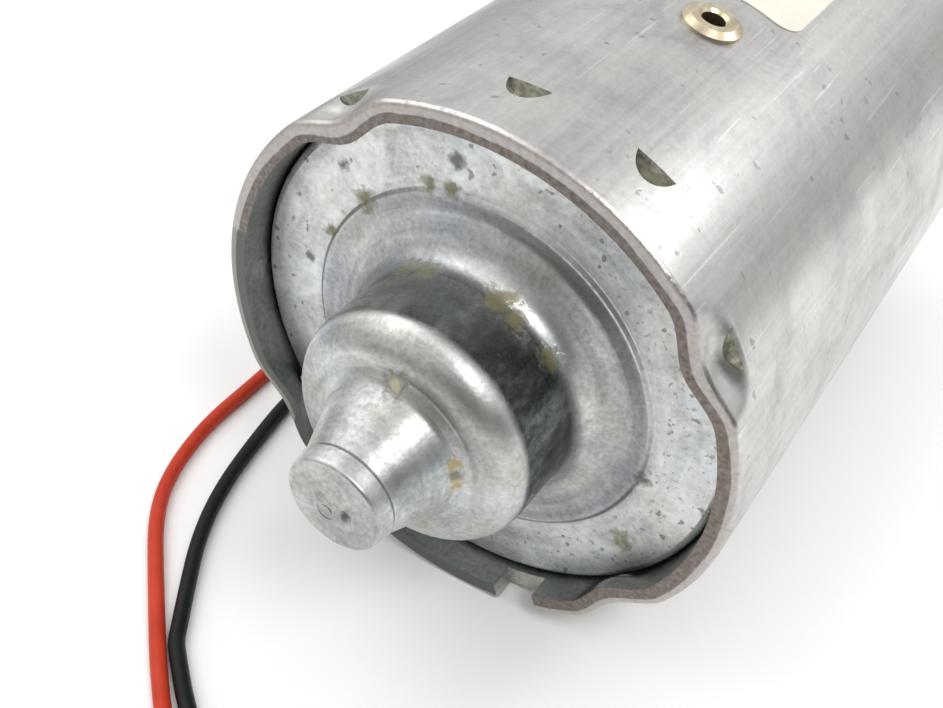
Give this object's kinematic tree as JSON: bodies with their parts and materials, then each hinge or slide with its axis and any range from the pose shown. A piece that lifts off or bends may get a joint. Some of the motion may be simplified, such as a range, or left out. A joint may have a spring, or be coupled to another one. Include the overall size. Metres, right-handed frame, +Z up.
{
  "type": "brushed dc electric motor",
  "caption": "Round steel-can brushed DC motor with a crimped drawn rear cap, closed nose, flatted output shaft and two flying leads.",
  "frame": {"origin": "on the shaft's axis, in the plane of the mounting face at the drive end", "axes": "+Y along the shaft, out of the output end; +Z up with the motor lying on its can; +X to the right seen from the rear cap"},
  "size_m": [0.1019, 0.2163, 0.0701],
  "materials": {
    "zinc_plated_can": "zinc-plated, satin, with axial draw marks and handling scratches",
    "zinc_plated_cap": "zinc-plated, mottled satin with oil residue",
    "nickel_rivet": "nickel-plated, satin",
    "steel_rivet": "zinc-plated, satin",
    "paper_label": "matt paper, blank",
    "spring_steel": "blued satin",
    "ferrite": "matt sintered",
    "phenolic_board": "matt laminate",
    "brass": "satin",
    "tinned_brass": "tin-plated, satin",
    "nylon_sleeve": "satin natural nylon",
    "black_insulation": "satin PVC",
    "red_insulation": "satin PVC",
    "rubber_grommet": "matt",
    "ground_shaft": "ground, bright",
    "moulded_phenolic": "matt",
    "copper": "satin copper",
    "core_steel": "stacked sheet edges, matt",
    "fibre_insulator": "matt fibre",
    "enamelled_copper": "glossy enamel",
    "carbon": "matt carbon",
    "bearing_steel": "polished",
    "nylon_cage": "matt nylon"
  },
  "bodies": {
    "stator": {"black_jumper": "black_insulation", "black_lead": "black_insulation", "black_lug": "brass", "black_terminal": "tinned_brass", "black_terminal_sleeve": "nylon_sleeve", "brush_card": "phenolic_board", "brush_holder_left": "brass", "brush_holder_right": "brass", "brush_spring_left": "spring_steel", "brush_spring_right": "spring_steel", "can": "zinc_plated_can", "card_rivets": "steel_rivet", "front_bearing_outer_race": "bearing_steel", "front_bearing_shields": "bearing_steel", "hollow_rivets": "nickel_rivet", "lead_grommet": "rubber_grommet", "magnet_keeper_bottom": "spring_steel", "magnet_keeper_top": "spring_steel", "magnet_left": "ferrite", "magnet_right": "ferrite", "rating_label": "paper_label", "rear_bearing_outer_race": "bearing_steel", "rear_bearing_shields": "bearing_steel", "rear_cap": "zinc_plated_cap", "rear_wave_washer": "spring_steel", "red_lead": "red_insulation", "red_lug": "brass", "red_terminal": "tinned_brass", "red_terminal_sleeve": "nylon_sleeve"},
    "armature": {"shaft": "ground_shaft", "front_circlip": "spring_steel", "front_spacer": "ground_shaft", "commutator_hub": "moulded_phenolic", "commutator_bars": "copper", "armature_core": "core_steel", "core_insulator_front": "fibre_insulator", "core_insulator_rear": "fibre_insulator", "armature_windings": "enamelled_copper", "front_bearing_inner_race": "bearing_steel", "rear_bearing_inner_race": "bearing_steel"},
    "front_ball_train": {"front_bearing_balls": "bearing_steel", "front_bearing_cage": "nylon_cage"},
    "rear_ball_train": {"rear_bearing_balls": "bearing_steel", "rear_bearing_cage": "nylon_cage"},
    "left_brush": {"brush_left": "carbon", "brush_shunt_left": "copper"},
    "right_brush": {"brush_right": "carbon", "brush_shunt_right": "copper"}
  },
  "joints": [
    {"name": "armature_spin", "type": "hinge", "parent": "stator", "child": "armature", "pos_m": [0, 0, 0], "axis": [0, 1, 0], "continuous": true},
    {"name": "front_cage_spin", "type": "hinge", "parent": "stator", "child": "front_ball_train", "pos_m": [0, 0.004, 0], "axis": [0, 1, 0], "continuous": true},
    {"name": "rear_cage_spin", "type": "hinge", "parent": "stator", "child": "rear_ball_train", "pos_m": [0, -0.1078, 0], "axis": [0, 1, 0], "continuous": true},
    {"name": "left_brush_slide", "type": "slide", "parent": "stator", "child": "left_brush", "axis": [-1, 0, 0], "range_m": [0, 0.003], "stiffness_N_per_m": 100, "springref_m": -0.01, "deforming": ["brush_spring_left"]},
    {"name": "right_brush_slide", "type": "slide", "parent": "stator", "child": "right_brush", "axis": [1, 0, 0], "range_m": [0, 0.003], "stiffness_N_per_m": 100, "springref_m": -0.01, "deforming": ["brush_spring_right"]}
  ],
  "couplings": [
    {"joint": "front_cage_spin", "follows": "armature_spin", "ratio": 0.385},
    {"joint": "rear_cage_spin", "follows": "armature_spin", "ratio": 0.385}
  ]
}
